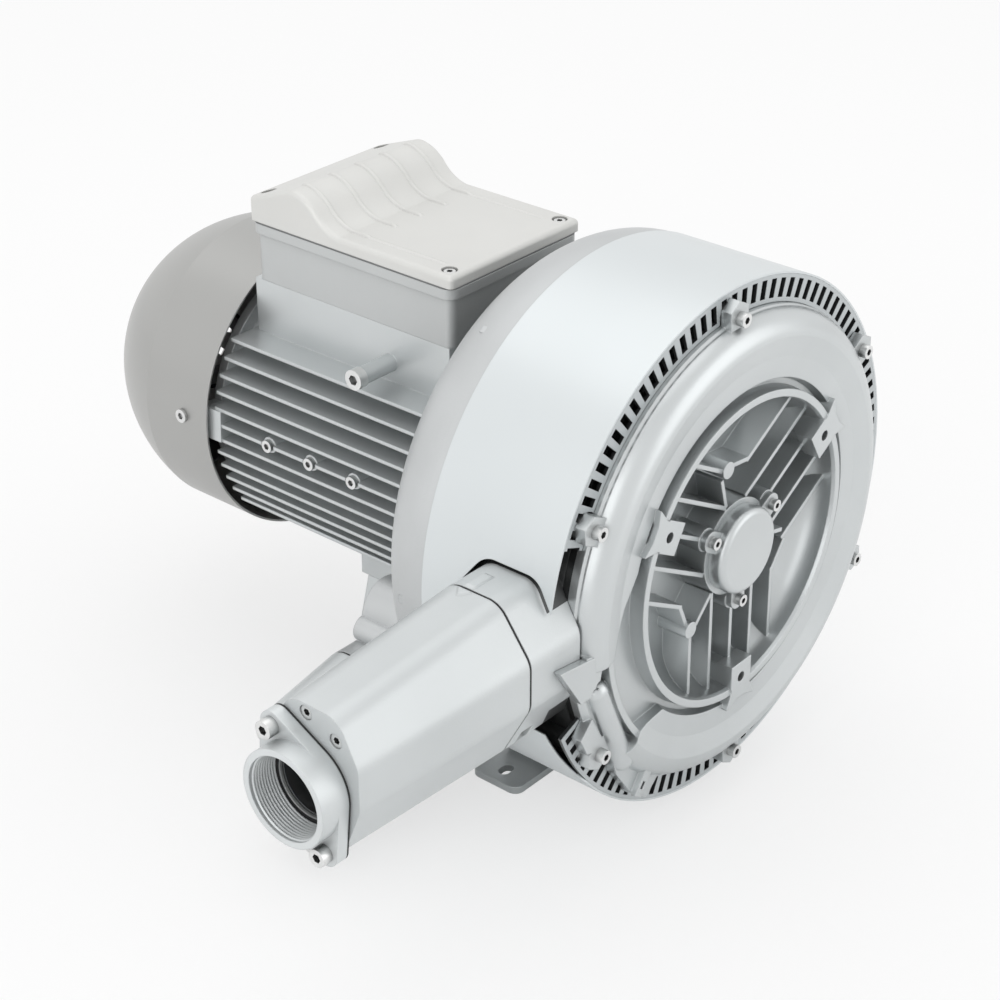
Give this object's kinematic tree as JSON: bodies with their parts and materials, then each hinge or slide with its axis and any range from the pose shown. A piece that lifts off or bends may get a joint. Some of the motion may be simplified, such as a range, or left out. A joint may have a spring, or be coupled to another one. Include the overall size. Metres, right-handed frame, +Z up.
{
  "type": "side channel blower",
  "caption": "Side channel blower: ring casing with slotted guard and ribbed front cover, finned motor with terminal box and fan cowl, silencers with threaded ports, feet.",
  "frame": {"origin": "the middle of the four foot slots, on the floor", "axes": "+Z up, +Y along the shaft from the front cover to the fan cowl, the silencers point toward -X"},
  "size_m": [0.6045, 0.587, 0.415],
  "materials": {
    "silver_paint": "satin silver-grey paint on cast aluminium",
    "dark_cast": "matt grey sand-cast skin",
    "band_paint": "bright satin silver paint on sheet",
    "cowl_paint": "satin silver-grey paint on sheet",
    "box_paint": "slightly warm satin silver paint",
    "zinc_steel": "zinc-plated steel",
    "black_rubber": "matt black",
    "grey_foam": "open-cell foam",
    "bearing_steel": "ground steel",
    "core_steel": "laminated sheet edges",
    "copper_wire": "varnished copper wire",
    "black_plastic": "matt black moulding",
    "stud_brass": "bright brass",
    "shaft_steel": "turned steel",
    "bare_aluminium": "cast aluminium"
  },
  "bodies": {
    "housing": {"front_cover": "silver_paint", "intermediate_casing": "silver_paint", "hub_cap": "silver_paint", "discharge_silencer": "silver_paint", "discharge_port_flange": "silver_paint", "suction_silencer": "silver_paint", "suction_port_flange": "silver_paint", "motor_frame": "silver_paint", "front_foot": "silver_paint", "rear_foot": "silver_paint", "rear_casing": "dark_cast", "rear_end_shield": "dark_cast", "cover_band": "band_paint", "slotted_guard_ring": "band_paint", "fan_cowl": "cowl_paint", "terminal_box": "box_paint", "terminal_lid": "box_paint", "cover_bolts": "zinc_steel", "hub_cap_screws": "zinc_steel", "discharge_joint_screws": "zinc_steel", "discharge_flange_screws": "zinc_steel", "suction_joint_screws": "zinc_steel", "suction_flange_screws": "zinc_steel", "foot_screws": "zinc_steel", "motor_bolts": "zinc_steel", "side_screws": "zinc_steel", "earth_screw": "zinc_steel", "shield_screws": "zinc_steel", "cowl_screws": "zinc_steel", "lid_screws": "zinc_steel", "box_screws": "zinc_steel", "discharge_gasket": "black_rubber", "discharge_flange_gasket": "black_rubber", "suction_gasket": "black_rubber", "suction_flange_gasket": "black_rubber", "lid_gasket": "black_rubber", "front_shaft_seal": "black_rubber", "middle_shaft_seal": "black_rubber", "rear_shaft_seal": "black_rubber", "discharge_foam_sleeve": "grey_foam", "suction_foam_sleeve": "grey_foam", "front_bearing_outer": "bearing_steel", "rear_bearing_outer": "bearing_steel", "stator_core": "core_steel", "stator_winding": "copper_wire", "terminal_block": "black_plastic", "cable_gland_and_plug": "black_plastic", "terminal_studs": "stud_brass"},
    "rotor": {"front_bearing_inner": "bearing_steel", "rear_bearing_inner": "bearing_steel", "bearing_balls": "bearing_steel", "shaft": "shaft_steel", "impeller_keys": "shaft_steel", "impeller_spacer": "shaft_steel", "impeller_nut": "shaft_steel", "first_stage_impeller": "bare_aluminium", "second_stage_impeller": "bare_aluminium", "rotor_cage_rings": "bare_aluminium", "rotor_core": "core_steel", "cooling_fan": "black_plastic"}
  },
  "joints": [
    {"name": "shaft_spin", "type": "hinge", "parent": "housing", "child": "rotor", "pos_m": [0, -0.206, 0.215], "axis": [0, 1, 0], "continuous": true}
  ]
}
